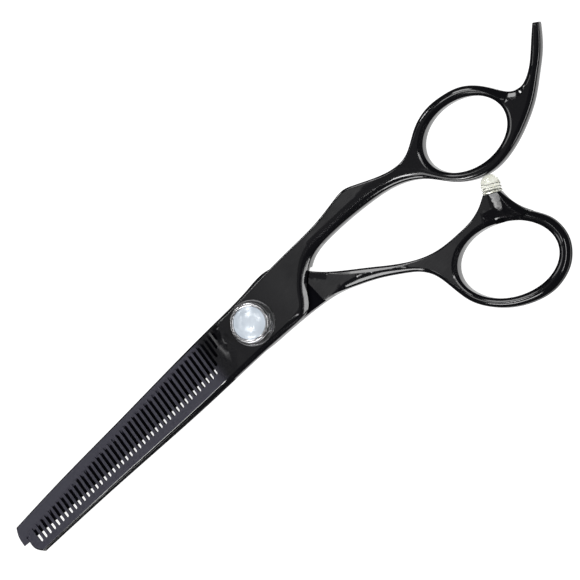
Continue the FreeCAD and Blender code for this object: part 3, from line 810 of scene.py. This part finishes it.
def painted_shade_black():
    """Painted shade: a darker, barely reflecting copy of the black coating, for the thumb lever's faces on
    which the levers slide, the walls between the teeth, the thumb ring's outer wall and the bore's mouth. The
    lapped grain is in its roughness and bump.
    """
    material, nodes, links, shader = new_material("matte_black_painted_shade")
    # painted shade: the near-black colour and the low IOR, which traps the light, make these faces look
    # shaded
    shader.inputs["Base Color"].default_value = (0.002, 0.002, 0.003, 1)
    shader.inputs["IOR"].default_value = 1.06
    lapped = add_noise(nodes, links, 2500.0)
    links.new(add_range(nodes, links, lapped.outputs["Fac"], 0.45, 0.6), shader.inputs["Roughness"])
    add_bump(nodes, links, lapped.outputs["Fac"], 0.000004, 0.3, shader)
    return material


def metal(name, colour, roughness, stretch):
    """A bare metal with turning or rolling marks along the stretched direction."""
    material, nodes, links, shader = new_material(name)
    shader.inputs["Base Color"].default_value = (*colour, 1)
    shader.inputs["Metallic"].default_value = 1.0
    marks = add_noise(nodes, links, 1.0, 3.0, stretch)
    links.new(add_range(nodes, links, marks.outputs["Fac"], *roughness), shader.inputs["Roughness"])
    add_bump(nodes, links, marks.outputs["Fac"], 0.000003, 0.3, shader)
    return material


def polished_steel():
    """Polished, with fine marks that lie level."""
    return metal("polished_steel", (0.42, 0.42, 0.43), (0.12, 0.24), (1500.0, 1500.0, 5000.0))


def spring_steel():
    """Rolled, with fine parallel marks."""
    return metal("rolled_spring_steel", (0.36, 0.36, 0.38), (0.25, 0.40), (900.0, 6000.0, 6000.0))


def turned_brass():
    """Turned, with fine marks that lie level."""
    return metal("turned_brass", (0.78, 0.57, 0.25), (0.18, 0.32), (1200.0, 1200.0, 8000.0))


def slip_plastic():
    """White slip plastic with a fine moulded grain."""
    material, nodes, links, shader = new_material("slip_plastic")
    shader.inputs["Base Color"].default_value = (0.80, 0.80, 0.76, 1)
    grain = add_noise(nodes, links, 4000.0)
    links.new(add_range(nodes, links, grain.outputs["Fac"], 0.35, 0.55), shader.inputs["Roughness"])
    add_bump(nodes, links, grain.outputs["Fac"], 0.000006, 0.4, shader)
    return material


def pearl_shell():
    """Nacre: pale blue-grey with slow pools of lighter and darker grey under a clear gloss."""
    material, nodes, links, shader = new_material("pearl_shell")
    pools = add_noise(nodes, links, 210.0, 2.0)
    colour = nodes.new("ShaderNodeMix")
    colour.data_type = "RGBA"
    colour.inputs["A"].default_value = (0.41, 0.46, 0.52, 1)
    colour.inputs["B"].default_value = (0.55, 0.61, 0.67, 1)
    links.new(add_range(nodes, links, pools.outputs["Fac"], 0.0, 1.0), colour.inputs["Factor"])
    links.new(colour.outputs["Result"], shader.inputs["Base Color"])
    links.new(add_range(nodes, links, pools.outputs["Fac"], 0.20, 0.32), shader.inputs["Roughness"])
    shader.inputs["Coat Weight"].default_value = 1.0
    shader.inputs["Coat Roughness"].default_value = 0.22
    return material


def clear_rubber():
    """Clear moulded rubber, a little yellow and cloudy."""
    material, nodes, links, shader = new_material("clear_rubber")
    cloud = add_noise(nodes, links, 900.0)
    colour = nodes.new("ShaderNodeMix")
    colour.data_type = "RGBA"
    colour.inputs["A"].default_value = (0.92, 0.93, 0.88, 1)
    colour.inputs["B"].default_value = (0.66, 0.66, 0.56, 1)
    links.new(add_range(nodes, links, cloud.outputs["Fac"], 0.0, 1.0), colour.inputs["Factor"])
    links.new(colour.outputs["Result"], shader.inputs["Base Color"])
    shader.inputs["Transmission Weight"].default_value = 0.92
    shader.inputs["IOR"].default_value = 1.42
    links.new(add_range(nodes, links, cloud.outputs["Fac"], 0.04, 0.12), shader.inputs["Roughness"])
    return material


# --- studio -----------------------------------------------------------------------------------------

# Softboxes that only reflections show: azimuth and tilt of the light, azimuth of its long side, its size
# and its radiance
REFLECTED_LIGHTS = {
    "stub_window": (35, 27, 125, (0.11, 0.11), 14.0),
    "lower_window": (-120, 29, -30, (0.40, 0.24), 6.0),
    "upper_window": (116, 37, 26, (0.40, 0.24), 9.0),
    "ring_strip": (55, 31, 145, (0.5, 0.08), 7.0),
    "upper_strip": (112, 66, 20, (0.3, 0.4), 11.0),
    "lower_strip": (-90, 62, 0, (0.70, 0.28), 14.0),
    "left_window": (180, 47, 90, (0.85, 0.10), 5.0),
    "sweep_window": (-2, 63, 88, (1.0, 0.14), 12.0),
    "heel_glint": (144, 74, 54, (0.15, 0.15), 30.0),
}
PANEL_HALF = 0.45
PANEL_TILT = 14                     # of the place where it hangs, 1 m from the object
PANEL_MIDDLE = (0.018, 0.014, 0)    # of its bright spot
PANEL_SPOT_RADIUS = 0.046
PANEL_SPOT_GLOW = 2.5
PANEL_GLOW = 0.22
UNDER_GLOW_HALF = 0.17
UNDER_GLOW_DEPTH = 0.25
FLOOR_HALF = 3.0
FLOOR_GAP = 0.1 * MM                # under the shears
WORLD_COLOUR = (0.03, 0.03, 0.03, 1)


def picture_axes():
    """The picture's right and up directions, laid level in the row frame."""
    right = Vector((math.cos(VIEW_TURN), -math.sin(VIEW_TURN), 0))
    up = Vector((math.sin(VIEW_TURN), math.cos(VIEW_TURN), 0))
    return right, up


def make_camera():
    """The camera, far enough away for a flat view."""
    level_right, up = picture_axes()
    right = level_right * math.cos(VIEW_TILT) - Vector((0, 0, math.sin(VIEW_TILT)))
    back = right.cross(up)
    data = bpy.data.cameras.new("camera")
    data.sensor_width = 36.0
    data.lens = data.sensor_width * CAMERA_DISTANCE / PICTURE_WIDTH
    data.clip_start = 0.01
    camera = bpy.data.objects.new("camera", data)
    aim = level_right * AIM_RIGHT + up * AIM_UP + Vector((0, 0, RIDE * MM))
    place = Matrix((right, up, back)).transposed().to_4x4()
    place.translation = aim + back * CAMERA_DISTANCE
    camera.matrix_world = place
    bpy.context.scene.collection.objects.link(camera)
    bpy.context.scene.camera = camera


def picture_direction(azimuth, tilt):
    """A direction from the object: azimuth round the picture from its right, tilt from straight up (+Z)."""
    right, up = picture_axes()
    azimuth, tilt = math.radians(azimuth), math.radians(tilt)
    level = right * math.cos(azimuth) + up * math.sin(azimuth)
    return level * math.sin(tilt) + Vector((0, 0, math.cos(tilt)))


def softbox(name, azimuth, tilt, along, size, radiance, distance=1.0, shift=0.0, glossy=True, diffuse=True):
    """An area light that faces the object; along is its long side's azimuth in the picture."""
    facing = picture_direction(azimuth, tilt)
    long_side = picture_direction(along, 90)
    long_side = (long_side - facing * long_side.dot(facing)).normalized()
    data = bpy.data.lights.new(name, "AREA")
    data.shape = "RECTANGLE"
    data.size, data.size_y = size
    data.energy = radiance * math.pi * size[0] * size[1]
    light = bpy.data.objects.new(name, data)
    turned = Matrix((long_side, facing.cross(long_side), facing)).transposed().to_4x4()
    turned.translation = CENTRE + facing * distance + long_side * shift
    light.matrix_world = turned
    light.visible_glossy = glossy
    light.visible_diffuse = diffuse
    light.visible_camera = False
    bpy.context.scene.collection.objects.link(light)


def stage_square(name, half, material):
    """A level square that belongs to the studio."""
    mesh = bpy.data.meshes.new(name)
    corners = [(-half, -half, 0), (half, -half, 0), (half, half, 0), (-half, half, 0)]
    mesh.from_pydata(corners, [], [(0, 1, 2, 3)])
    mesh.materials.append(material)
    square = bpy.data.objects.new(name, mesh)
    bpy.context.scene.collection.objects.link(square)
    return square


def glow_material(name):
    """A material that only shines, its nodes and links, and the socket of its strength."""
    material = bpy.data.materials.new(name)
    material.use_nodes = True
    nodes, links = material.node_tree.nodes, material.node_tree.links
    nodes.clear()
    emission = nodes.new("ShaderNodeEmission")
    output = nodes.new("ShaderNodeOutputMaterial")
    links.new(emission.outputs["Emission"], output.inputs["Surface"])
    return material, nodes, links, emission.inputs["Strength"]


def overhead_panel():
    """The softbox that the flats reflect, brightest in its middle."""
    material, nodes, links, strength = glow_material("panel_glow")
    where = nodes.new("ShaderNodeTexCoord")
    distance = nodes.new("ShaderNodeVectorMath")
    distance.operation = "DISTANCE"
    distance.inputs[1].default_value = PANEL_MIDDLE
    links.new(where.outputs["Object"], distance.inputs[0])
    glow = nodes.new("ShaderNodeMapRange")
    glow.interpolation_type = "SMOOTHSTEP"
    glow.inputs["From Min"].default_value = 0.0
    glow.inputs["From Max"].default_value = PANEL_SPOT_RADIUS
    glow.inputs["To Min"].default_value = PANEL_SPOT_GLOW
    glow.inputs["To Max"].default_value = PANEL_GLOW
    links.new(distance.outputs["Value"], glow.inputs["Value"])
    links.new(glow.outputs["Result"], strength)
    panel = stage_square("overhead_panel", PANEL_HALF, material)
    right, up = picture_axes()
    place = Matrix((right, up, Vector((0, 0, 1)))).transposed().to_4x4()
    place.translation = CENTRE + picture_direction(180, PANEL_TILT)
    panel.matrix_world = place
    panel.visible_camera = False
    panel.visible_diffuse = False
    panel.visible_shadow = False


def make_floor():
    """The pale floor, which reflections don't show."""
    material, _, _, shader = new_material("pale_floor")
    shader.inputs["Base Color"].default_value = (0.3, 0.3, 0.3, 1)
    shader.inputs["Roughness"].default_value = 0.9
    shader.inputs["Specular IOR Level"].default_value = 0.1
    shader.inputs["Emission Color"].default_value = (1, 1, 1, 1)
    shader.inputs["Emission Strength"].default_value = 0.93
    floor = stage_square("floor", FLOOR_HALF, material)
    floor.location.z = -FLOOR_GAP
    floor.visible_glossy = False


def make_under_glow():
    """The light from below that upright walls reflect; surfaces that are less steep look past it."""
    material, _, _, strength = glow_material("under_glow")
    strength.default_value = 0.8
    glow = stage_square("under_glow", UNDER_GLOW_HALF, material)
    glow.location = CENTRE - Vector((0, 0, UNDER_GLOW_DEPTH))
    glow.visible_camera = False
    glow.visible_diffuse = False
    glow.visible_transmission = False


def make_studio():
    """The floor, the world and the lights."""
    make_floor()
    make_under_glow()
    world = bpy.data.worlds.new("studio")
    world.use_nodes = True
    world.node_tree.nodes["Background"].inputs["Color"].default_value = WORLD_COLOUR
    bpy.context.scene.world = world
    softbox("fill", 0, 0, 0, (2.4, 2.4), 3.0, distance=1.6, glossy=False)
    overhead_panel()
    softbox("comb_strip", -81, 17.6, 44, (0.07, 0.05), 30.0, distance=0.5, shift=-0.060, diffuse=False)
    for name, placing in REFLECTED_LIGHTS.items():
        softbox(name, *placing, diffuse=False)
    bpy.context.scene.view_settings.view_transform = "Standard"


# --- the pieces and their finishes ------------------------------------------------------------------

MATERIAL_OF_SLOT = {
    "black_steel": gloss_black,
    "bright_steel": polished_steel,
    "spring_steel": spring_steel,
    "brass": turned_brass,
    "slip_plastic": slip_plastic,
    "pearl": pearl_shell,
    "clear_bumper": clear_rubber,
}


def dress_levers(gloss):
    """Makes the finished levers and the dark disc of painted shade at the bore's mouth, and puts them in
    place of the CAD levers.
    """
    satin = satin_black()
    # painted shade: the matt material is a darker, barely reflecting copy of the coating
    shade_matte = painted_shade_black()
    levers = (
        (finger_lever_mesh, "finger_side", "finger_lever"),
        (thumb_lever_mesh, "thumb_side", "thumb_lever"),
    )
    for make, body, node in levers:
        lever = make([gloss, satin, shade_matte])
        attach(lever, body)
        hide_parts(node)
    bore = bore_shade_disc(shade_matte)
    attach(bore, "thumb_side")
    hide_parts("thumb_lever")


def dress_nodes():
    """Gives every CAD node the material of its slot."""
    slot_of = {part["node"]: part["material_slot"] for part in frame["record"]["subparts"]}
    made = {slot: make() for slot, make in MATERIAL_OF_SLOT.items()}
    dress_levers(made["black_steel"])
    for name, node in frame["nodes"].items():
        node.data.materials.clear()
        node.data.materials.append(made[slot_of[name]])


make_camera()
make_studio()
dress_nodes()
